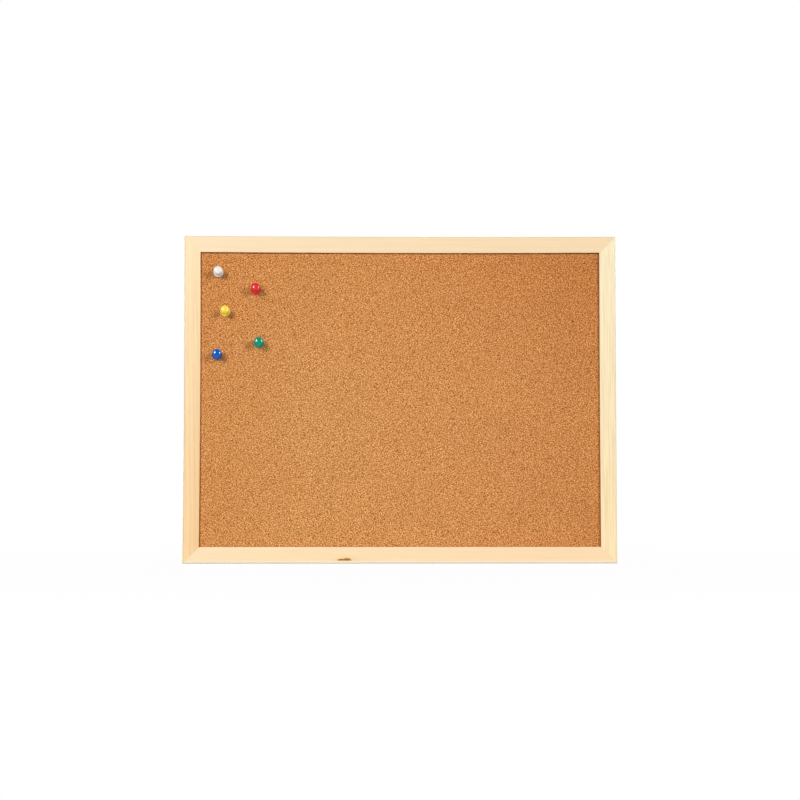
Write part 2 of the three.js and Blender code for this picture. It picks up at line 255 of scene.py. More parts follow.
def sealed_pine(name, start, end, half_length, figure, knot=None):
    """Planed pine, clear sealed: pale early wood crossed by the darker edges of growth
    rings, which run lengthwise as soft slanting lines, with fine fibre streaks and a satin
    sheen. The rings are even sheets through the wood, counted inwards from the phase."""
    spacing, phase, slope, ring_depth, streak_depth, blush = figure
    material, tree, shader = new_material(
        name, {"Roughness": 0.5, "IOR": 1.5, "Coat Weight": 0.08, "Coat Roughness": 0.35}
    )
    straight = add(tree, "Attribute", attribute_name="grain").outputs["Vector"]
    place = add(tree, "SeparateXYZ", {"Vector": straight})
    grain = add(tree, "Mapping", {"Vector": straight, "Rotation": (0.0, 0.0, -slope)})
    # slow wander of the rings, over about 80 mm of length
    slow = add(tree, "Mapping", {"Vector": grain, "Scale": (12.0, 60.0, 60.0)})
    wander_by = add(tree, "TexNoise", {"Vector": slow, "Scale": 1.0, "Detail": 2.0})
    sheet = add(
        tree, "VectorMath", {0: grain, 1: (0.0, 1 / spacing, 0.6 / spacing)},
        operation="DOT_PRODUCT",
    )
    counted = add(
        tree, "Math", {0: wander_by, 1: 1.1 * MM / spacing, 2: sheet}, operation="MULTIPLY_ADD"
    )
    shifted = add(tree, "Math", {0: counted, 1: phase}, operation="SUBTRACT")
    part = add(tree, "Math", {0: shifted}, operation="FRACT")
    late = add(
        tree,
        "ValToRGB",
        {"Fac": part},
        stops=[
            (0.0, grey(0.5)),
            (0.1, grey(0.0)),
            (0.5, grey(0.05)),
            (0.82, grey(0.45)),
            (0.94, grey(1.0)),
            (1.0, grey(0.5)),
        ],
    )
    # fibres about 0.9 mm wide and some 40 mm long
    fine = add(tree, "Mapping", {"Vector": grain, "Scale": (26.0, 1100.0, 1100.0)})
    fibre = add(tree, "TexNoise", {"Vector": fine, "Scale": 1.0, "Detail": 2.0})
    # broad streaks of tone, some 5 mm wide
    broad = add(tree, "Mapping", {"Vector": grain, "Scale": (5.0, 210.0, 120.0)})
    tone = add(tree, "TexNoise", {"Vector": broad, "Scale": 1.0, "Detail": 1.5})
    run = add(
        tree, "MapRange",
        {"Value": place.outputs["X"], "From Min": -half_length, "From Max": half_length},
    )
    early = add(tree, "Mix", {0: run, 6: linear(start), 7: linear(end)}, data_type="RGBA")
    uneven = add(
        tree, "MapRange", {"Value": tone, "From Min": 0.3, "From Max": 0.7, "To Max": ring_depth}
    )
    # heartwood side: the inner half is warmer, more so towards the end
    inner = add(
        tree, "MapRange",
        {"Value": place.outputs["Y"], "From Min": 5 * MM, "From Max": 12 * MM, "To Max": blush},
    )
    warm = add(tree, "Math", {0: inner, 1: run}, operation="MULTIPLY")
    strength = add(
        tree, "Math", {0: late, 1: uneven, 2: warm}, operation="MULTIPLY_ADD", use_clamp=True
    )
    ringed = add(
        tree, "Mix", {0: strength, 6: early, 7: linear(colours().pine_late)}, data_type="RGBA"
    )
    lines = add(
        tree, "ValToRGB", {"Fac": fibre}, stops=[(0.32, (0.9, 0.86, 0.8, 1.0)), (0.6, grey(1.0))]
    )
    wood = add(
        tree, "Mix", {0: streak_depth, 6: ringed, 7: lines}, data_type="RGBA", blend_type="MULTIPLY"
    )
    if knot:
        wood = knot_colour(tree, straight, wood, *knot)
        # on the bottom rail: a painted pale band of light from the floor and a painted contact
        # shadow along the edge it stands on
        wood = painted_floor_light_and_shade(tree, place.outputs["Y"], wood)
    bump = add(tree, "Bump", {"Height": fibre, "Strength": 0.2, "Distance": 0.04 * MM})
    feed(tree, shader, {"Base Color": wood, "Normal": bump})
    return material


def knot_colour(tree, grain, wood, lobes, flat_side):
    """A small knot cut lengthwise: overlapping ovals, each a centre and a half size, brown
    and fading at the rim into a halo of resin, all cut off straight on the side where the
    edge was rounded."""
    nearest = None
    for centre, half_size in lobes:
        offset = add(tree, "VectorMath", {0: grain, 1: centre}, operation="SUBTRACT")
        scaled = add(
            tree, "VectorMath", {0: offset, 1: (1 / half_size[0], 1 / half_size[1], 0.0)},
            operation="MULTIPLY",
        )
        near = add(tree, "VectorMath", {0: scaled}, operation="LENGTH")
        if nearest:
            near = add(tree, "Math", {0: near, 1: nearest}, operation="MINIMUM")
        nearest = near
    mask = add(
        tree, "ValToRGB", {"Fac": nearest},
        stops=[(0.0, grey(1.0)), (0.6, grey(0.9)), (0.85, grey(0.5)), (1.0, grey(0.0))],
    )
    inward = add(tree, "SeparateXYZ", {0: grain})
    kept = add(
        tree,
        "MapRange",
        {
            "Value": inward.outputs["Y"],
            "From Min": flat_side - 0.3 * MM,
            "From Max": flat_side + 0.1 * MM,
        },
    )
    share = add(tree, "Math", {0: mask, 1: kept}, operation="MULTIPLY")
    halo = add(tree, "MapRange", {"Value": nearest, "From Min": 2.4, "From Max": 1.0})
    amber = add(
        tree, "Mix", {0: halo, 6: wood, 7: (0.97, 0.93, 0.72, 1.0)}, data_type="RGBA",
        blend_type="MULTIPLY",
    )
    return add(tree, "Mix", {0: share, 6: amber, 7: linear(colours().knot)}, data_type="RGBA")


def painted_floor_light_and_shade(tree, inward, wood):
    """The edge a board stands on: painted pale for about 2 mm, as if lit from the floor below, with
    a painted contact shadow along the last half millimetre."""
    for near, far, share, tint in (
        (2.3, 1.5, 0.75, colours().floor_light_band),
        (0.75, 0.4, 0.6, colours().contact_shadow),
    ):
        mapped = add(
            tree, "MapRange",
            {"Value": inward, "From Min": near * MM, "From Max": far * MM, "To Max": share},
        )
        wood = add(tree, "Mix", {0: mapped, 6: wood, 7: linear(tint)}, data_type="RGBA")
    return wood


def pressed_cork():
    """Granulated cork, pressed and sanded: irregular grains of many browns with dark bark
    specks and pale flecks, dull, its surface slightly pitted between the grains."""
    material, tree, shader = new_material(
        "pressed_granulated_cork", {"Roughness": 0.85, "IOR": 1.4, "Specular IOR Level": 0.25}
    )
    shade = colours()
    where = add(tree, "TexCoord").outputs["Object"]
    granule = sizes().granule
    warp = add(tree, "TexNoise", {"Vector": where, "Scale": 0.8 / granule, "Detail": 2.0})
    centred = add(
        tree, "VectorMath", {0: warp.outputs["Color"], 1: (0.5, 0.5, 0.5)}, operation="SUBTRACT"
    )
    bent = add(
        tree, "VectorMath", {0: centred, 1: (0.8 * granule,) * 3, 2: where},
        operation="MULTIPLY_ADD",
    )
    grains = add(tree, "TexVoronoi", {"Vector": bent, "Scale": 1 / granule})
    edges = add(
        tree, "TexVoronoi", {"Vector": bent, "Scale": 1 / granule}, feature="DISTANCE_TO_EDGE"
    )
    pick = add(tree, "SeparateColor", {"Color": grains.outputs["Color"]})
    body = add(
        tree,
        "ValToRGB",
        {"Fac": pick.outputs["Red"]},
        stops=[
            (0.0, linear(shade.cork_dark)),
            (0.35, linear(shade.cork_brown)),
            (0.5, linear(shade.cork_mid)),
            (0.65, linear(shade.cork_tan)),
            (1.0, linear(shade.cork_light)),
        ],
    )
    specks = add(tree, "TexVoronoi", {"Vector": where, "Scale": 0.6 / granule})
    choose = add(tree, "SeparateColor", {"Color": specks.outputs["Color"]})
    chosen = add(
        tree, "ValToRGB", {"Fac": choose.outputs["Green"]},
        stops=[(0.94, grey(0.0)), (0.95, grey(1.0))],
    )
    speckled = add(tree, "Mix", {0: chosen, 6: body, 7: linear(shade.bark)}, data_type="RGBA")
    rare = add(
        tree, "ValToRGB", {"Fac": choose.outputs["Blue"]},
        stops=[(0.998, grey(0.0)), (0.999, grey(1.0))],
    )
    flecked = add(tree, "Mix", {0: rare, 6: speckled, 7: linear(shade.fleck)}, data_type="RGBA")
    # tops and hollows of the sanded face, evenly spread and about two granules wide
    level = add(tree, "Mapping", {"Vector": where, "Rotation": (math.pi / 2, 0.0, 0.6)})
    tops = add(
        tree, "TexNoise", {"Vector": level, "Scale": 1 / (2.3 * granule), "Detail": 0.0},
        noise_dimensions="2D",
    )
    height = add(tree, "MapRange", {"Value": tops, "From Min": 0.25, "From Max": 0.75})
    sanded = add(
        tree, "Mix", {0: height, 6: (0.75, 0.52, 0.14, 1.0), 7: (1.25, 1.48, 1.86, 1.0)},
        data_type="RGBA",
    )
    gap = add(
        tree, "ValToRGB", {"Fac": edges}, stops=[(0.0, (0.72, 0.66, 0.6, 1.0)), (0.09, grey(1.0))]
    )
    # slow mottling over some 30 mm, from the pressing
    mottle = add(tree, "TexNoise", {"Vector": where, "Scale": 35.0, "Detail": 3.0})
    cloud = add(tree, "ValToRGB", {"Fac": mottle}, stops=[(0.3, grey(0.96)), (0.7, grey(1.0))])
    # painted sheen and shade: palest a little left of the middle, a painted sheen where the left
    # lamp falls, and painted shade, deeper and redder to the right, along the top and most in that
    # corner
    spot = add(tree, "SeparateXYZ", {0: where})
    across, upward = (
        add(
            tree, "MapRange",
            {"Value": spot.outputs[axis], "From Min": CORK_LOW[axis], "From Max": CORK_HIGH[axis]},
        )
        for axis in (0, 2)
    )
    painted_sheen_and_shade = add(
        tree,
        "ValToRGB",
        {"Fac": across},
        stops=[
            (0.0, (0.97, 0.905, 0.845, 1.0)),
            (0.27, (1.0, 1.0, 0.985, 1.0)),
            (0.45, (1.0, 0.985, 0.975, 1.0)),
            (0.63, (0.985, 0.94, 0.93, 1.0)),
            (0.8, (0.955, 0.885, 0.86, 1.0)),
            (1.0, (0.905, 0.805, 0.745, 1.0)),
        ],
    )
    painted_shade_aloft = add(
        tree, "ValToRGB", {"Fac": upward},
        stops=[(0.5, grey(1.0)), (0.7, (0.98, 0.95, 0.94, 1.0)), (1.0, (0.945, 0.875, 0.82, 1.0))],
    )
    corner = add(tree, "Math", {0: across, 1: upward}, operation="MULTIPLY")
    painted_corner_shade = add(
        tree, "ValToRGB", {"Fac": corner},
        stops=[(0.5, grey(1.0)), (1.0, (0.935, 0.925, 0.87, 1.0))],
    )
    # painted shade along the frame: a darker line about 1.5 mm wide round the open cork
    opening = (RAIL_HIGH[0] - FACE, 0.0, -RAIL_HIGH[2])
    folded = add(tree, "VectorMath", {0: where}, operation="ABSOLUTE")
    reach = add(tree, "VectorMath", {0: folded, 1: opening}, operation="SUBTRACT")
    inside = add(tree, "SeparateXYZ", {0: reach})
    nearest = add(
        tree, "Math", {0: inside.outputs["X"], 1: inside.outputs["Z"]}, operation="MAXIMUM"
    )
    painted_frame_shade = add(
        tree,
        "MapRange",
        {
            "Value": nearest,
            "From Min": -1.8 * MM,
            "From Max": -0.6 * MM,
            "To Min": 1.0,
            "To Max": 0.87,
        },
    )
    # painted shadow: a brown line under the lip, except along the bottom, where the lip throws no
    # shade
    above = add(tree, "Math", {0: spot.outputs["Z"], 1: opening[2]}, operation="SUBTRACT")
    beyond = add(tree, "Math", {0: inside.outputs["X"], 1: above}, operation="MAXIMUM")
    depth = add(tree, "MapRange", {"Value": beyond, "From Min": -1.0 * MM, "From Max": 0.0})
    line = add(
        tree, "ValToRGB", {"Fac": depth}, stops=[(0.3, grey(1.0)), (0.8, (0.62, 0.5, 0.38, 1.0))]
    )
    cork = flecked
    for layer in (gap, cloud, painted_sheen_and_shade, painted_shade_aloft, painted_corner_shade, painted_frame_shade, line, sanded):
        share = 0.6 if layer is gap else 1.0
        cork = add(
            tree, "Mix", {0: share, 6: cork, 7: layer}, data_type="RGBA", blend_type="MULTIPLY"
        )
    bump = add(tree, "Bump", {"Height": edges, "Strength": 0.5, "Distance": 0.15 * MM})
    feed(tree, shader, {"Base Color": cork, "Normal": bump})
    return material


def fibre_sheet(name, hex_text, dark, fibre_mm, bump_mm):
    """Uncoated board of wood fibre, such as kraft paper or softboard: matted hairs in two
    directions over an even brown, with a dull and slightly fuzzy face."""
    material, tree, shader = new_material(
        name, {"Roughness": 0.9, "IOR": 1.45, "Specular IOR Level": 0.3}
    )
    where = add(tree, "TexCoord").outputs["Object"]
    scale = 1 / (fibre_mm * MM)
    along = add(tree, "Mapping", {"Vector": where, "Scale": (scale * 0.12, scale, scale)})
    up = add(tree, "Mapping", {"Vector": where, "Scale": (scale, scale, scale * 0.16)})
    first = add(tree, "TexNoise", {"Vector": along, "Scale": 1.0, "Detail": 3.0})
    second = add(tree, "TexNoise", {"Vector": up, "Scale": 1.0, "Detail": 3.0})
    mat = add(tree, "Math", {0: first, 1: second}, operation="MAXIMUM")
    blotch = add(tree, "TexNoise", {"Vector": where, "Scale": 22.0, "Detail": 4.0})
    mixed = add(tree, "Math", {0: blotch, 1: 0.5, 2: mat}, operation="MULTIPLY_ADD")
    tint = add(
        tree, "ValToRGB", {"Fac": mixed}, stops=[(0.55, linear(dark)), (0.95, linear(hex_text))]
    )
    bump = add(tree, "Bump", {"Height": mat, "Strength": 0.4, "Distance": bump_mm * MM})
    feed(tree, shader, {"Base Color": tint, "Normal": bump})
    return material


def plated_steel(name, hex_text, dark, roughness, spot_mm):
    """Steel with a bright zinc plate or a ground finish: a metal mirror blurred by fine
    spangle and rubbed brighter here and there."""
    material, tree, shader = new_material(name, {"Metallic": 1.0})
    where = add(tree, "TexCoord").outputs["Object"]
    spangle = add(tree, "TexNoise", {"Vector": where, "Scale": 1 / (spot_mm * MM), "Detail": 3.0})
    tint = add(
        tree, "ValToRGB", {"Fac": spangle}, stops=[(0.3, linear(dark)), (0.7, linear(hex_text))]
    )
    mapped = add(
        tree,
        "MapRange",
        {
            "Value": spangle,
            "From Min": 0.25,
            "From Max": 0.75,
            "To Min": roughness * 0.8,
            "To Max": roughness * 1.3,
        },
    )
    bump = add(tree, "Bump", {"Height": spangle, "Strength": 0.15, "Distance": 0.02 * MM})
    feed(tree, shader, {"Base Color": tint, "Roughness": mapped, "Normal": bump})
    return material


def moulded_polystyrene(name, hex_text, scatter, gloss):
    """Moulded polystyrene: a clear highlight over full colour and a surface that flows very
    slightly; a scatter length above nought lets light in that far, which evens out the
    white's shade, and the pale colours are less glossy."""
    material, tree, shader = new_material(
        name,
        {
            "IOR": 1.59,
            "Subsurface Weight": 1.0 if scatter else 0.0,
            "Subsurface Radius": (1.0, 1.0, 1.0),
            "Subsurface Scale": scatter,
        },
    )
    where = add(tree, "TexCoord").outputs["Object"]
    flow = add(tree, "TexNoise", {"Vector": where, "Scale": 1 / (1.6 * MM), "Detail": 1.0})
    base = linear(hex_text)
    deep = tuple(channel * 0.93 for channel in base[:3]) + (1.0,)
    tint = add(tree, "ValToRGB", {"Fac": flow}, stops=[(0.3, deep), (0.7, base)])
    polish = add(tree, "MapRange", {"Value": flow, "To Min": gloss, "To Max": gloss + 0.08})
    bump = add(tree, "Bump", {"Height": flow, "Strength": 0.12, "Distance": 0.03 * MM})
    feed(tree, shader, {"Base Color": tint, "Roughness": polish, "Normal": bump})
    return material


# Surfaces as arrays


def lattice_faces(rows, columns, wrap=False):
    """Four-cornered faces of a lattice of points, row by row; wrap joins the last column
    to the first."""
    row, column = np.meshgrid(
        np.arange(rows - 1), np.arange(columns if wrap else columns - 1), indexing="ij"
    )
    after = (column + 1) % columns
    corners = (
        row * columns + column,
        row * columns + after,
        (row + 1) * columns + after,
        (row + 1) * columns + column,
    )
    return np.stack(corners, axis=-1).reshape(-1, 4)


def facing_out(points, face_sets):
    """The faces, turned round if the volume they close comes out negative: the sum over
    their triangles of the triple product of the corners."""
    volume = 0.0
    for faces in face_sets:
        corner = points[faces]
        fan = np.cross(corner[:, 1:-1], corner[:, 2:])
        volume += np.einsum("fi,fki->", corner[:, 0], fan)
    return face_sets if volume > 0 else [faces[:, ::-1] for faces in face_sets]


def build(name, points, face_sets, material, body, nodes, crease=40.0):
    """A named piece from its points and its arrays of faces, riding on a CAD body and
    standing for CAD nodes. Edges sharper than crease degrees stay sharp."""
    points = np.asarray(points, float)
    face_sets = facing_out(points, face_sets)
    loops = np.concatenate([faces.ravel() for faces in face_sets])
    counts = np.concatenate([np.full(len(f), f.shape[1]) for f in face_sets])
    starts = np.concatenate([[0], np.cumsum(counts)[:-1]])
    mesh = bpy.data.meshes.new(name)
    mesh.vertices.add(len(points))
    mesh.vertices.foreach_set("co", points.astype(np.float32).ravel())
    mesh.loops.add(len(loops))
    mesh.loops.foreach_set("vertex_index", loops.astype(np.int32))
    mesh.polygons.add(len(counts))
    mesh.polygons.foreach_set("loop_start", starts.astype(np.int32))
    mesh.update(calc_edges=True)
    if mesh.validate():
        raise RuntimeError(f"{name} has faces that don't hold together")
    mesh.polygons.foreach_set("use_smooth", np.ones(len(counts), bool))
    mesh.set_sharp_from_angle(angle=math.radians(crease))
    mesh.materials.append(material)
    piece = bpy.data.objects.new(name, mesh)
    bpy.context.scene.collection.objects.link(piece)
    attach(piece, body)
    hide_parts(*nodes)
    return piece


def rounded(corners, radii, steps):
    """An outline whose square corners are quarter rounds. With a and b the directions to
    the corners before and after, a point of the round is corner + r((1 - sin t)a +
    (1 - cos t)b), t from 0 to a quarter turn."""
    corners = np.asarray(corners, float)
    radii = np.asarray(radii, float)[:, None, None]
    before = np.roll(corners, 1, axis=0) - corners
    after = np.roll(corners, -1, axis=0) - corners
    before /= np.linalg.norm(before, axis=1, keepdims=True)
    after /= np.linalg.norm(after, axis=1, keepdims=True)
    t = np.linspace(0, math.pi / 2, steps)[None, :, None]
    bend = (1 - np.sin(t)) * before[:, None] + (1 - np.cos(t)) * after[:, None]
    return (corners[:, None] + radii * bend).reshape(-1, 2)


def side_normals(ahead):
    """Unit normals to the left of directions in a plane, given as rows."""
    ahead = ahead / np.linalg.norm(ahead, axis=1, keepdims=True)
    return np.column_stack([-ahead[:, 1], ahead[:, 0]])


def drawn_in(outline, depth):
    """A closed outline moved inwards by depth: each point goes along the sum of its two
    edges' normals, over one plus their product, so the edges stay parallel."""
    normal = side_normals(np.roll(outline, -1, axis=0) - outline)
    behind = np.roll(normal, 1, axis=0)
    share = 1 + np.sum(normal * behind, axis=1, keepdims=True)
    x, y = outline.T
    area = np.sum(x * np.roll(y, -1) - np.roll(x, -1) * y)
    return outline + math.copysign(depth, area) * (normal + behind) / share


def tube(points):
    """Points and faces of a closed outline carried along a path, with both ends capped. The
    points come as rows of outlines."""
    rows, columns = points.shape[:2]
    near = np.arange(columns)[None, ::-1]
    far = (rows - 1) * columns + np.arange(columns)[None]
    return points.reshape(-1, 3), [lattice_faces(rows, columns, wrap=True), near, far]


def plate(outline, y_front, y_back, ease):
    """Points and faces of a flat plate: an outline in (x, z) carried from front to back,
    drawn in by ease at both faces."""
    small = drawn_in(outline, ease)
    rings = ((small, y_front), (outline, y_front + ease), (outline, y_back - ease), (small, y_back))
    rows = [np.column_stack([o[:, 0], np.full(len(o), y), o[:, 1]]) for o, y in rings]
    return tube(np.array(rows))


def turned(profile, base, axis, steps, shift=None):
    """Points and faces of a profile turned about an axis. The profile is (radius, height)
    rows that start and end on the axis; shift adds height by row and step."""
    axis = np.asarray(axis, float) / np.linalg.norm(axis)
    side = np.cross(axis, (0.0, 0.0, 1.0) if abs(axis[2]) < 0.9 else (1.0, 0.0, 0.0))
    side /= np.linalg.norm(side)
    other = np.cross(axis, side)
    angle = np.linspace(0, 2 * math.pi, steps, endpoint=False)
    ring = np.cos(angle)[:, None] * side + np.sin(angle)[:, None] * other
    inner = profile[1:-1]
    height = inner[:, 1:2] + (0 if shift is None else shift[1:-1])
    height = np.broadcast_to(height, (len(inner), steps))
    points = base + height[..., None] * axis + inner[:, 0][:, None, None] * ring
    poles = base + profile[[0, -1], 1][:, None] * axis
    if shift is not None:
        poles = poles + np.array([shift[0, 0], shift[-1, 0]])[:, None] * axis
    count = len(inner)
    column = np.arange(steps)
    after = (column + 1) % steps
    first, last = count * steps, count * steps + 1
    end = (count - 1) * steps
    fan_first = np.column_stack([after, column, np.full(steps, first)])
    fan_last = np.column_stack([end + column, end + after, np.full(steps, last)])
    all_points = np.concatenate([points.reshape(-1, 3), poles])
    return all_points, [lattice_faces(count, steps, wrap=True), fan_first, fan_last]


def arc(centre, radius, first, last, steps):
    """Points of a circular arc between two angles in degrees."""
    t = np.radians(np.linspace(first, last, steps))
    return np.asarray(centre) + radius * np.column_stack([np.cos(t), np.sin(t)])


def bend(start, pull, end, steps):
    """Points of the parabola from start to end that leaves and arrives towards pull."""
    t = np.linspace(0, 1, steps)[:, None]
    return (1 - t) ** 2 * start + 2 * t * (1 - t) * pull + t**2 * end


def joined(*runs):
    """Runs of points end to end, without the points that repeat."""
    points = np.concatenate([np.atleast_2d(np.asarray(run, float)) for run in runs])
    step = np.linalg.norm(np.diff(points, axis=0), axis=1)
    return points[np.concatenate([[True], step > 1e-7])]


def wander(x, z, cell, seed):
    """Smooth random heights from -1 to 1: random values on a square lattice of that cell,
    with a cubic ease between neighbours."""
    side = 512
    table = np.random.default_rng(seed).uniform(-1, 1, (side, side))
    u, v = x / cell, z / cell
    i, j = np.floor(u).astype(int), np.floor(v).astype(int)
    f, g = u - i, v - j
    f, g = f * f * (3 - 2 * f), g * g * (3 - 2 * g)
    i, j, k, m = i % side, j % side, (i + 1) % side, (j + 1) % side
    low = table[i, j] * (1 - f) + table[k, j] * f
    high = table[i, m] * (1 - f) + table[k, m] * f
    return low * (1 - g) + high * g


def relief_slab(x_lines, z_lines, height, y_face, y_far):
    """Points and faces of a sheet: one face is height over a lattice of x and z lines,
    added to y_face; its edge drops to a flat far face, closed by a fan."""
    x, z = np.meshgrid(x_lines, z_lines)
    face = np.column_stack([x.ravel(), (y_face + height).ravel(), z.ravel()])
    rows, columns = x.shape
    index = np.arange(rows * columns).reshape(rows, columns)
    edge = np.concatenate([index[0, :-1], index[:-1, -1], index[-1, :0:-1], index[:0:-1, 0]])
    far = face[edge].copy()
    far[:, 1] = y_far
    middle = np.array([[x_lines.mean(), y_far, z_lines.mean()]])
    count = len(edge)
    back = rows * columns + np.arange(count)
    next_edge, next_back = np.roll(edge, -1), np.roll(back, -1)
    sides = np.column_stack([next_edge, edge, back, next_back])
    fan = np.column_stack([next_back, back, np.full(count, rows * columns + count)])
    return np.concatenate([face, far, middle]), [lattice_faces(rows, columns), sides, fan]


def quarter_turned(points, turns):
    """Points turned about Y by quarter turns, bottom rail to right stile being one."""
    x, y, z = points.T
    for _ in range(turns):
        x, z = -z, x
    return np.column_stack([x, y, z])


# The pine frame


def moulding_outline():
    """Section of the moulding in (inward, depth): a rebated bar with eased edges."""
    size = sizes()
    front, back = RAIL_LOW[1], RAIL_HIGH[1]
    behind_lip, land = front + size.lip, FACE - size.overhang
    outer = [(0, back), (0, front), (FACE, front)]
    rebate = [(FACE, behind_lip), (land, behind_lip), (land, back)]
    fine = size.back_arris
    radii = [fine, size.arris, size.sight_arris, fine, fine / 2, fine]
    return rounded(outer + rebate, radii, 9)


def member_surface(length, reach, outer_bow, inner_bow):
    """A mitred length of moulding, drawn as the bottom rail: the outline carried along X,
    each point stopping at its own distance in from the end, so the ends are mitres. The
    last stretch draws in a little to soften the mitre's edge, and the whole bows inwards
    as one minus the square of the way along, its inner edge by its own amount."""
    size = sizes()
    outline = moulding_outline()
    small = drawn_in(outline, size.mitre_ease)
    inner = np.linspace(-0.985, 0.985, 41)
    way = np.concatenate([[-1, -1], inner, [1, 1]])[:, None]
    pull = np.concatenate([[0, size.mitre_ease], inner * 0, [size.mitre_ease, 0]])[:, None]
    eased = np.concatenate([[True, False], inner > 2, [False, True]])[:, None]
    inward = np.where(eased, small[:, 0], outline[:, 0])
    depth = np.where(eased, small[:, 1], outline[:, 1])
    half = length / 2 - size.glue_line / math.sqrt(2)
    along = way * (half - inward - pull)
    bow = outer_bow + (inner_bow - outer_bow) * inward / outline[:, 0].max()
    points = np.stack([along, depth, inward - reach + bow * (1 - way**2)], axis=-1)
    grain = np.stack([along, inward, depth], axis=-1)
    return *tube(points), grain.reshape(-1, 3)


class PINBOARD_OT_frame(Operator):
    """Builds the four mitred pine members of the frame"""

    bl_idname = "pinboard.frame"
    bl_label = "Pine frame"

    def execute(self, context):
        shade, size = colours(), sizes()
        width = BOARD_HIGH[0] - BOARD_LOW[0]
        height = BOARD_HIGH[2] - BOARD_LOW[2]
        # the lower rail's knot: centre and half size of its two ovals, and its flat side
        lobes = (
            ((-48.9 * MM, 3.1 * MM, 0.0), (4.7 * MM, 2.1 * MM)),
            ((-53.7 * MM, 3.0 * MM, 0.0), (4.2 * MM, 1.5 * MM)),
        )
        knot = (lobes, 2.72 * MM)
        # each member: colours at its two ends, bow, knot, and its figure: ring spacing,
        # ring phase, slant, depth of the rings, of the fibre streaks and of the blush
        members = (
            ("bottom_rail", shade.pine_bottom_left, shade.pine_bottom_right,
             (0.0, 0.0), knot, (6.0 * MM, 0.3, 0.002, 0.1, 0.3, 0.0)),
            ("right_stile", shade.pine_right_bottom, shade.pine_right_top,
             (0.2 * MM, 0.2 * MM), None, (2.2 * MM, 0.0, 0.012, 0.5, 1.0, 0.0)),
            ("top_rail", shade.pine_top_right, shade.pine_top_left,
             (size.rail_bow, size.sight_bow), None, (7.0 * MM, 0.1, 0.002, 0.1, 0.3, 0.0)),
            ("left_stile", shade.pine_left_top, shade.pine_left_bottom,
             (0.6 * MM, 0.4 * MM), None, (4.3 * MM, 0.0, 0.0137, 0.8, 0.6, 0.5)),
        )
        for turns, (name, start, end, bow, flaw, figure) in enumerate(members):
            lying = turns % 2 == 0
            length, reach = (width, height / 2) if lying else (height, width / 2)
            points, faces, grain = member_surface(length, reach, *bow)
            material = sealed_pine(f"sealed_pine_{name}", start, end, length / 2, figure, flaw)
            piece = build(
                f"{name}_pine", quarter_turned(points, turns), faces, material, "board", [name],
                crease=50.0,
            )
            layer = piece.data.attributes.new("grain", "FLOAT_VECTOR", "POINT")
            layer.data.foreach_set("vector", grain.astype(np.float32).ravel())
        return {"FINISHED"}


# The panel


def pin_frame(colour):
    """A pin's axis, the middle of its flange's underside, and its head's height and flange
    radius, read from its CAD head and joint."""
    joint = next(j for j in frame["joints"] if j["child"] == f"{colour}_pin")
    axis = np.array(joint["axis"], float)
    axis /= np.linalg.norm(axis)
    points = node_points(f"pin_head_{colour}")
    height = points @ axis
    flat = points - height[:, None] * axis
    middle = (flat.min(axis=0) + flat.max(axis=0)) / 2
    middle -= (middle @ axis) * axis
    radius = np.linalg.norm(flat - middle, axis=1).max()
    # the cap's end stays a hair inside the solid's
    inside_by = 0.02 * MM
    return axis, middle + height.min() * axis, np.ptp(height) - inside_by, radius


def needle_mouths():
    """Where the five needles enter the cork's front, as (x, z) rows."""
    mouths = []
    for colour in PIN_COLOURS:
        axis, base, _, _ = pin_frame(colour)
        at = base + axis * (CORK_LOW[1] - base[1]) / axis[1]
        mouths.append((at[0], at[2]))
    return np.array(mouths)


def crowded_lines(low, high, step, centres):
    """Lines from low to high a step apart, with closer ones within 2 mm of each centre."""
    close, clear, least = 1.8 * MM, 2.1 * MM, 0.12 * MM
    even = np.linspace(low, high, int(round((high - low) / step)) + 1)
    near = (centres[:, None] + np.linspace(-close, close, 13)).ravel()
    far = np.abs(even[:, None] - centres).min(axis=1) > clear
    lines = np.unique(np.concatenate([even[far], near, [low, high]]))
    wide = np.concatenate([[True], np.diff(lines) > least])
    wide[-1] = True
    return lines[wide]


class PINBOARD_OT_cork(Operator):
    """Builds the cork sheet: an uneven pressed face with a small mouth at each needle"""

    bl_idname = "pinboard.cork"
    bl_label = "Cork sheet"

    def execute(self, context):
        size = sizes()
        mouths = needle_mouths()
        x_lines = crowded_lines(CORK_LOW[0], CORK_HIGH[0], size.lattice, mouths[:, 0])
        z_lines = crowded_lines(CORK_LOW[2], CORK_HIGH[2], size.lattice, mouths[:, 1])
        x, z = np.meshgrid(x_lines, z_lines)
        uneven = 0.6 * wander(x, z, 1.9 * MM, 3) + 0.4 * wander(x, z, 7 * MM, 5)
        height = size.relief * uneven
        reach = np.hypot(x[..., None] - mouths[:, 0], z[..., None] - mouths[:, 1])
        near = reach.min(axis=-1)
        # a mouth with steep walls at each needle, and a slightly raised lip around it
        mouth, half_depth, wall = 0.85 * MM, 0.75 * MM, 0.12 * MM
        height = height + half_depth * (1 - np.tanh((near - mouth) / wall))
        lip, lip_height, lip_width = 1.3 * MM, 0.12 * MM, 0.4 * MM
        height = height - lip_height * np.exp(-(((near - lip) / lip_width) ** 2))
        points, faces = relief_slab(x_lines, z_lines, height, CORK_LOW[1], CORK_HIGH[1])
        build("cork_sheet_pressed", points, faces, pressed_cork(), "board", ["cork_sheet"])
        return {"FINISHED"}


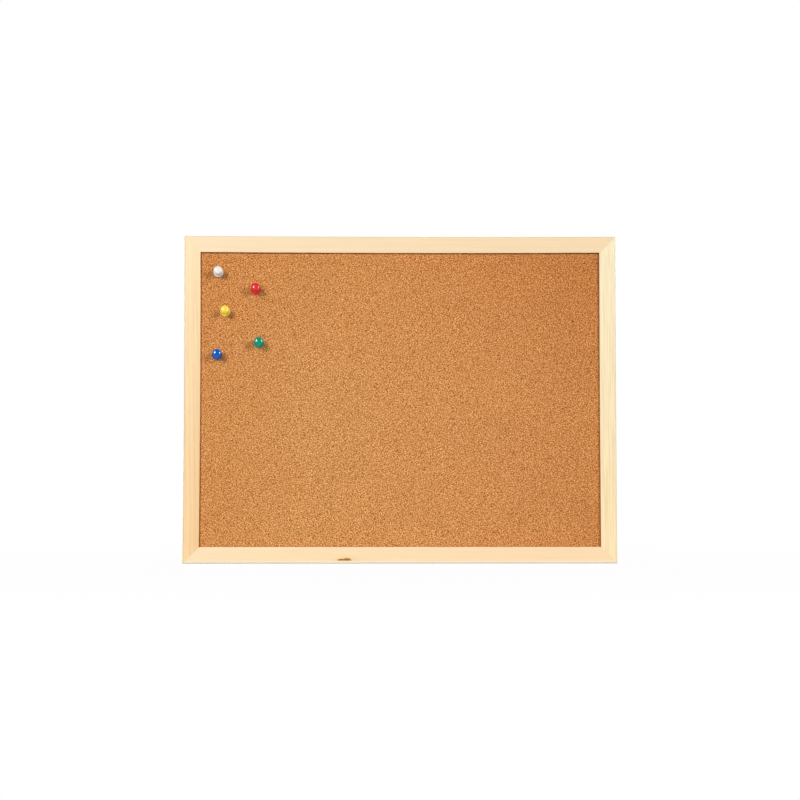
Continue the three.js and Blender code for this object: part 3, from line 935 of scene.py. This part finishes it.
class PINBOARD_OT_backing(Operator):
    """Dresses the softboard core and builds the kraft paper liner with its slight waves"""

    bl_idname = "pinboard.backing"
    bl_label = "Core and liner"

    def execute(self, context):
        shade = colours()
        core = frame["nodes"]["softboard_core"]
        core.data.materials.clear()
        raw = (shade.softboard, shade.softboard_dark)
        core.data.materials.append(fibre_sheet("raw_wood_fibre_softboard", *raw, 1.2, 0.25))
        x_lines = np.linspace(LINER_LOW[0], LINER_HIGH[0], 121)
        z_lines = np.linspace(LINER_LOW[2], LINER_HIGH[2], 91)
        x, z = np.meshgrid(x_lines, z_lines)
        edge = np.minimum(
            np.minimum(x - LINER_LOW[0], LINER_HIGH[0] - x),
            np.minimum(z - LINER_LOW[2], LINER_HIGH[2] - z),
        )
        # waves 0.2 mm deep at most and 38 mm long, which die out 30 mm from the edge
        half_wave, wave_length, margin = 0.1 * MM, 38 * MM, 30 * MM
        calm = np.clip(edge / margin, 0, 1)
        height = half_wave * calm * (wander(x, z, wave_length, 11) - 1)
        points, faces = relief_slab(x_lines, z_lines, height, LINER_HIGH[1], LINER_LOW[1])
        paper = fibre_sheet("uncoated_kraft_paper", shade.kraft, shade.kraft_dark, 0.9, 0.05)
        build("kraft_liner_sheet", points, faces, paper, "board", ["kraft_liner"])
        return {"FINISHED"}


# The push pins


def head_profile(height, flange):
    """Half section of a pin's head as (radius, height): a flat underside, a short straight
    flange edge, a top coned at 24 degrees that sweeps in to the waist and out to the cap,
    and a domed end whose arc meets the edge's arc without a break."""
    size = sizes()
    rim, corner, edge = size.flange_edge, size.flange_corner, size.cap_edge
    waist, cap = size.waist / 2, size.cap / 2
    foot = height - size.cap_depth
    narrow = rim + (foot - rim) * 0.45
    dome = size.cap_dome
    lean = math.asin((cap - edge) / (dome - edge))
    shoulder = height - dome + (dome - edge) * math.cos(lean)
    point = np.array
    cone = 24
    slope = math.tan(math.radians(cone))
    upper = arc((flange - corner, rim - corner), corner, 0, 90 - cone, 6)

    def coned(radius):
        return point((radius, upper[-1][1] + (upper[-1][0] - radius) * slope))

    return joined(
        [(0, 0), (flange * 0.4, 0)],
        arc((flange - corner, corner), corner, -90, 0, 6),
        upper,
        bend(coned(waist + 0.8 * MM), coned(waist + 0.05 * MM), point((waist, narrow)), 14),
        bend(
            point((waist, narrow)), point((waist + 0.1 * MM, foot - 0.6 * MM)),
            point((cap - edge * 0.4, foot)), 12,
        ),
        bend(
            point((cap - edge * 0.4, foot)), point((cap, foot + 0.2 * MM)),
            point((cap, foot + edge * 0.6)), 8,
        ),
        arc((cap - edge, shoulder), edge, 0, 90 - math.degrees(lean), 12),
        arc((0, height - dome), dome, 90 - math.degrees(lean), 90, 16),
    )


def needle_profile(low, high, radius):
    """Half section of a needle: a ground point that swells to the shank, and a flat top."""
    taper = 3.0 * MM
    t = np.linspace(0, 1, 10)
    point = np.column_stack([radius * np.sin(t * math.pi / 2) ** 1.2, low + taper * t])
    return joined(point, [(radius, high - 0.2 * MM), (0.6 * radius, high), (0, high)])


class PINBOARD_OT_pins(Operator):
    """Builds the five push pins: a moulded head and a steel needle each"""

    bl_idname = "pinboard.pins"
    bl_label = "Push pins"

    def execute(self, context):
        shade, size = colours(), sizes()
        steel = plated_steel("polished_needle_steel", shade.needle, shade.needle_dark, 0.16, 0.7)
        # scatter length and roughness: the pale colours are duller than the rest
        glossy, pale = (0.0, 0.1), {"white": (2.5 * MM, 0.28), "yellow": (0.0, 0.3)}
        needle_steps = 28
        for colour in PIN_COLOURS:
            axis, base, height, flange = pin_frame(colour)
            plastic = moulded_polystyrene(
                f"moulded_polystyrene_{colour}", getattr(shade, f"pin_{colour}"),
                *pale.get(colour, glossy),
            )
            points, faces = turned(head_profile(height, flange), base, axis, size.turn_steps)
            body = f"{colour}_pin"
            build(
                f"pin_head_{colour}_moulded", points, faces, plastic, body, [f"pin_head_{colour}"],
                crease=60.0,
            )
            reach = (node_points(f"pin_needle_{colour}") - base) @ axis
            profile = needle_profile(reach.min(), reach.max(), NEEDLE_RADIUS)
            points, faces = turned(profile, base, axis, needle_steps)
            build(
                f"pin_needle_{colour}_ground", points, faces, steel, body, [f"pin_needle_{colour}"],
            )
        return {"FINISHED"}


# The wall hangers


def strap_surface(low, high):
    """A hanger's strap as a closed shell: a line up the plate and round the eye, carried
    across the width, its outer and inner faces half a thickness either side. The lower
    corners are round: near the end the half width is the corner circle's."""
    size = sizes()
    thick, corner = size.strap, size.strap_corner
    full, eye, _ = (high - low) / 2
    axis_z = high[2] - eye
    middle = (eye + low[1], axis_z)
    plate_z = np.concatenate(
        [low[2] + corner * (1 - np.cos(np.linspace(0, math.pi / 2, 12))),
         np.linspace(low[2] + corner, axis_z, 14)[1:]]
    )
    flat = np.column_stack([np.full(len(plate_z), low[1] + thick / 2), plate_z])
    line = joined(flat, arc(middle, eye - thick / 2, 180, -105, 40))
    normal = side_normals(np.gradient(line, axis=0))
    from_end = np.clip(line[:, 1] - low[2], 0, corner)
    from_end = np.where(np.arange(len(line)) < len(plate_z), from_end, corner)
    half = full - corner + np.sqrt(np.maximum(corner**2 - (corner - from_end) ** 2, 0))
    # section across the strap: a flat bar with rounded edges
    ease = 0.18 * MM
    across = rounded(
        [(-full, -thick / 2), (full, -thick / 2), (full, thick / 2), (-full, thick / 2)],
        [ease] * 4, 4,
    )
    width = np.sign(across[:, 0]) * np.maximum(
        np.abs(across[:, 0])[None] - (full - half)[:, None], 0
    )
    x = (low[0] + high[0]) / 2 + width
    place = line[:, None] + across[:, 1][None, :, None] * normal[:, None]
    return tube(np.concatenate([x[..., None], place], axis=-1))


def ring_surface(low, high, eye_y):
    """A hanging ring: a round wire carried along a D, drawn in (x, z), from its butt end
    in the middle of the bar, round the bow and back."""
    half_width, wire, _ = (high - low) / 2
    half = half_width - wire
    top, bottom = high[2] - wire, low[2] + wire
    corner, butt = 1.6 * MM, 0.25 * MM
    centre = bottom + half
    bar = np.column_stack([np.linspace(butt, half - corner, 8), np.full(8, top)])
    right = joined(bar, arc((half - corner, top - corner), corner, 90, 0, 12))
    bow = arc((0, centre), half, 0, -180, 60)
    left = right[::-1] * (-1, 1)
    line = joined(right, bow, left)
    normal = side_normals(np.gradient(line, axis=0))
    turn = np.linspace(0, 2 * math.pi, 20, endpoint=False)
    flat = line[:, None] + wire * np.cos(turn)[None, :, None] * normal[:, None]
    y = np.broadcast_to(eye_y + wire * np.sin(turn), flat.shape[:2])
    x = flat[..., 0] + (low[0] + high[0]) / 2
    return tube(np.stack([x, y, flat[..., 1]], axis=-1))


def screw_surface(low, high):
    """A round-headed wood screw along Y: a tapered shank and a low dome, the dome cut by
    a cross recess. The cut is a depth over radius and angle, full inside either of two
    crossed slots and fading over their tapered edges."""
    size = sizes()
    steps = 96
    head, length = (high[0] - low[0]) / 2, high[1] - low[1]
    base = np.array([(low[0] + high[0]) / 2, low[1], (low[2] + high[2]) / 2])
    # the head sits just clear of the strap
    clear = 0.1 * MM
    seat = size.strap + clear - low[1]
    shank, tip = 1.3 * MM, 3.0 * MM
    dome = bend(
        np.array((head, seat + (length - seat) * 0.25)), np.array((head * 0.85, length)),
        np.array((0, length)), 34,
    )
    profile = joined(
        [(0, 0), (shank * 0.5, tip * 0.55), (shank, tip), (shank, seat), (head, seat)], dome
    )
    angle = np.linspace(0, 2 * math.pi, steps, endpoint=False)
    u = profile[:, 0][:, None] * np.cos(angle + math.pi / 7)
    v = profile[:, 0][:, None] * np.sin(angle + math.pi / 7)
    narrow, long, soft = 0.42 * MM, 1.75 * MM, 0.07 * MM

    def inside(value, limit):
        return 1 / (1 + np.exp((np.abs(value) - limit) / soft))

    slot = np.maximum(inside(u, narrow) * inside(v, long), inside(v, narrow) * inside(u, long))
    on_head = (profile[:, 1] > seat + 0.2 * MM)[:, None]
    shallow = 1 - 0.45 * np.clip(profile[:, 0][:, None] / long, 0, 1)
    shift = -size.recess * slot * shallow * on_head
    shift[-1] = shift[-1].mean()
    return turned(profile, base, (0.0, 1.0, 0.0), steps, shift)


class PINBOARD_OT_hangers(Operator):
    """Builds the two wall hangers: strap, hanging ring and screw each"""

    bl_idname = "pinboard.hangers"
    bl_label = "Wall hangers"

    def execute(self, context):
        shade = colours()
        zinc = plated_steel("bright_zinc_plated_steel", shade.zinc, shade.zinc_dark, 0.3, 0.9)
        for side in ("left", "right"):
            low, high = node_box(f"hanger_strap_{side}")
            eye_y = (low[1] + high[1]) / 2
            points, faces = strap_surface(low, high)
            build(
                f"hanger_strap_{side}_rolled", points, faces, zinc, "board",
                [f"hanger_strap_{side}"],
            )
            points, faces = ring_surface(*node_box(f"hanging_ring_{side}"), eye_y)
            build(
                f"hanging_ring_{side}_wire", points, faces, zinc, f"{side}_ring",
                [f"hanging_ring_{side}"], crease=60.0,
            )
            points, faces = screw_surface(*node_box(f"hanger_screw_{side}"))
            build(
                f"hanger_screw_{side}_cross", points, faces, zinc, "board",
                [f"hanger_screw_{side}"], crease=35.0,
            )
        return {"FINISHED"}


# Points and corner nails


def point_outline(low, high, side):
    """Outline of a framer's point in (x, z): a strip with clipped corners at its free end
    and a sharp tip at the other, which lies towards the named side of the board."""
    width, _, height = high - low
    length, across = (width, height) if side in ("left", "right") else (height, width)
    half = across / 2
    shoulder, clip = 2.75 * MM, half * 0.4
    flank = [(half, shoulder), (half, length - clip), (half - clip, length)]
    over, along = np.array([(0, 0), *flank, *((-x, z) for x, z in flank[::-1])]).T
    x, _, z = (low + high) / 2
    return np.column_stack(
        {
            "bottom": (over + x, low[2] + along),
            "top": (x - over, high[2] - along),
            "left": (low[0] + along, z - over),
            "right": (high[0] - along, z + over),
        }[side]
    )


class PINBOARD_OT_fasteners(Operator):
    """Builds the framer's points round the panel and the corner nails across the mitres"""

    bl_idname = "pinboard.fasteners"
    bl_label = "Points and corner nails"

    def execute(self, context):
        shade = colours()
        zinc = plated_steel("sheared_zinc_strip", shade.zinc, shade.strip_dark, 0.36, 1.4)
        steel = plated_steel("blued_nail_strip", shade.nail, shade.nail_dark, 0.4, 0.6)
        counts = {"top": 3, "bottom": 3, "left": 2, "right": 2}
        sheared, strip, driven, proud = 0.1 * MM, 0.6 * MM, 0.05 * MM, 0.04 * MM
        for side, count in counts.items():
            for number in range(1, count + 1):
                node = f"framer_point_{side}_{number}"
                low, high = node_box(node)
                points, faces = plate(point_outline(low, high, side), low[1], high[1], sheared)
                build(f"{node}_sheared", points, faces, zinc, "board", [node], 20.0)
        for node in sorted(n for n in frame["nodes"] if n.startswith("corner_nail")):
            low, high = node_box(node)
            leg = high[0] - low[0]
            bent = [(0, 0), (leg, 0), (leg, strip), (strip, strip), (strip, leg), (0, leg)]
            x, z = np.array(bent).T
            x = low[0] + x if "left" in node else high[0] - x
            z = low[2] + z if "bottom" in node else high[2] - z
            outline = np.column_stack([x, z])
            # the driven edge shows at the wood's back as a thin bright angle
            points, faces = plate(outline, low[1], RAIL_HIGH[1] + proud, driven)
            build(f"{node}_driven", points, faces, steel, "board", [node], 20.0)
        return {"FINISHED"}


# The stage


def aim(obj, target):
    """Turns a lamp or camera so that it looks at a point, with its top up."""
    way = Vector(target) - obj.location
    obj.rotation_mode = "QUATERNION"
    obj.rotation_quaternion = way.to_track_quat("-Z", "Y")


def share_seen(tree, mirrored_share):
    """How much a ray sees of the white surround: all of it straight from the camera, the
    given share in a reflection or through a clear piece, and none as light."""
    path = add(tree, "LightPath")
    mirrored = add(
        tree, "Math", {0: path.outputs["Is Glossy Ray"], 1: path.outputs["Is Transmission Ray"]},
        operation="MAXIMUM",
    )
    shown = add(tree, "Math", {0: mirrored, 1: mirrored_share}, operation="MULTIPLY")
    return add(tree, "Math", {0: shown, 1: path.outputs["Is Camera Ray"]}, operation="MAXIMUM")


class PINBOARD_OT_stage(Operator):
    """Sets the floor, the soft lamps, the white world and the camera"""

    bl_idname = "pinboard.stage"
    bl_label = "Stage"

    def execute(self, context):
        scene = context.scene
        self.floor(scene)
        self.world(scene)
        self.lamps(scene)
        self.camera(scene)
        scene.view_settings.view_transform = "Standard"
        return {"FINISHED"}

    def floor(self, scene):
        half, level = 8.0, BOARD_LOW[2]
        square = ((-half, -half), (half, -half), (half, half), (-half, half))
        mesh = bpy.data.meshes.new("studio_floor")
        mesh.from_pydata([(x, y, level) for x, y in square], [], [(0, 1, 2, 3)])
        # matt paper, pale at the board and greyer further forward; what the eye sees
        # directly is lifted towards plain white
        material = bpy.data.materials.new("matt_studio_paper")
        material.use_nodes = True
        tree = material.node_tree
        tree.nodes.clear()
        where = add(tree, "TexCoord").outputs["Object"]
        depth = add(tree, "SeparateXYZ", {0: where})
        close = add(
            tree, "MapRange", {"Value": depth.outputs["Y"], "From Min": -0.3, "From Max": -0.03}
        )
        shade = add(
            tree, "Mix", {0: close, 6: linear(colours().floor_front), 7: linear(colours().floor)},
            data_type="RGBA",
        )
        paper = add(tree, "BsdfDiffuse", {"Color": shade})
        glow = add(tree, "Emission", {"Color": grey(1.0), "Strength": 1.0})
        away = add(tree, "VectorMath", {0: where}, operation="LENGTH")
        lift = add(
            tree, "MapRange",
            {"Value": away, "From Min": 0.25, "From Max": 0.7, "To Min": 0.98, "To Max": 1.0},
        )
        part = add(tree, "Math", {0: share_seen(tree, close), 1: lift}, operation="MULTIPLY")
        both = add(tree, "MixShader", {0: part, 1: paper, 2: glow})
        add(tree, "OutputMaterial", {"Surface": both})
        mesh.materials.append(material)
        floor = bpy.data.objects.new("studio_floor", mesh)
        scene.collection.objects.link(floor)

    def world(self, scene):
        world = bpy.data.worlds.new("white_studio")
        scene.world = world
        world.use_nodes = True
        tree = world.node_tree
        tree.nodes.clear()
        # a white sweep behind the board, a dimmer room on the side it faces
        way = add(tree, "SeparateXYZ", {0: add(tree, "TexCoord").outputs["Generated"]})
        room = add(
            tree, "MapRange",
            {"Value": way.outputs["Y"], "From Min": -0.15, "From Max": 0.3, "To Min": 0.04},
        )
        # every other ray finds a weak even light
        even = 0.05
        strength = add(tree, "Math", {0: share_seen(tree, room), 1: even}, operation="MAXIMUM")
        sky = add(tree, "Background", {"Color": grey(1.0), "Strength": strength})
        add(tree, "OutputWorld", {"Surface": sky})

    def lamps(self, scene):
        # two tall softboxes in front and a little above, the left one nearer the middle,
        # and two behind the board for its back and sides
        for name, place, width, height, power in (
            ("softbox_left", (-2.08, -4.26, 1.59), 0.75, 1.6, 149.0),
            ("softbox_right", (3.04, -3.75, 1.29), 1.0, 1.6, 115.0),
            ("softbox_back_left", (-2.4, 4.0, 1.4), 1.2, 1.2, 105.0),
            ("softbox_back_right", (2.4, 4.0, 1.4), 1.2, 1.2, 105.0),
        ):
            data = bpy.data.lights.new(name, "AREA")
            data.shape = "RECTANGLE"
            data.size, data.size_y = width, height
            data.energy = power
            lamp = bpy.data.objects.new(name, data)
            lamp.location = place
            lamp.visible_camera = False
            scene.collection.objects.link(lamp)
            aim(lamp, (0.0, 0.0, 0.0))

    def camera(self, scene):
        # seen from just left of and below the middle, as far off as the edges' slant says
        data = bpy.data.cameras.new("photo_view")
        focal_pixels, picture_pixels = 1722.7, 800
        data.sensor_width = 36.0
        data.lens = data.sensor_width * focal_pixels / picture_pixels
        camera = bpy.data.objects.new("photo_view", data)
        yaw, drop, away = math.radians(0.84), math.radians(2.94), 1.6
        camera.location = (
            -away * math.sin(yaw) * math.cos(drop),
            -away * math.cos(yaw) * math.cos(drop),
            -away * math.sin(drop),
        )
        scene.collection.objects.link(camera)
        aim(camera, (0.0, 0.0, 0.0))
        scene.camera = camera


class PINBOARD_PT_panel(Panel):
    """Lists the steps that dress the pin board"""

    bl_idname = "PINBOARD_PT_panel"
    bl_label = "Pin board"
    bl_space_type = "VIEW_3D"
    bl_region_type = "UI"
    bl_category = "Pin board"

    def draw(self, context):
        for step in STEPS:
            self.layout.operator(step.bl_idname)


STEPS = (
    PINBOARD_OT_frame,
    PINBOARD_OT_cork,
    PINBOARD_OT_backing,
    PINBOARD_OT_pins,
    PINBOARD_OT_hangers,
    PINBOARD_OT_fasteners,
    PINBOARD_OT_stage,
)
CLASSES = (PinBoardSizes, PinBoardColours, *STEPS, PINBOARD_PT_panel)


def register():
    for one in CLASSES:
        bpy.utils.register_class(one)
    bpy.types.Scene.pin_board_sizes = PointerProperty(type=PinBoardSizes)
    bpy.types.Scene.pin_board_colours = PointerProperty(type=PinBoardColours)


def unregister():
    del bpy.types.Scene.pin_board_colours
    del bpy.types.Scene.pin_board_sizes
    for one in reversed(CLASSES):
        bpy.utils.unregister_class(one)


def main():
    register()
    bpy.ops.pinboard.frame()
    bpy.ops.pinboard.cork()
    bpy.ops.pinboard.backing()
    bpy.ops.pinboard.pins()
    bpy.ops.pinboard.hangers()
    bpy.ops.pinboard.fasteners()
    bpy.ops.pinboard.stage()


if __name__ == "__main__":
    main()
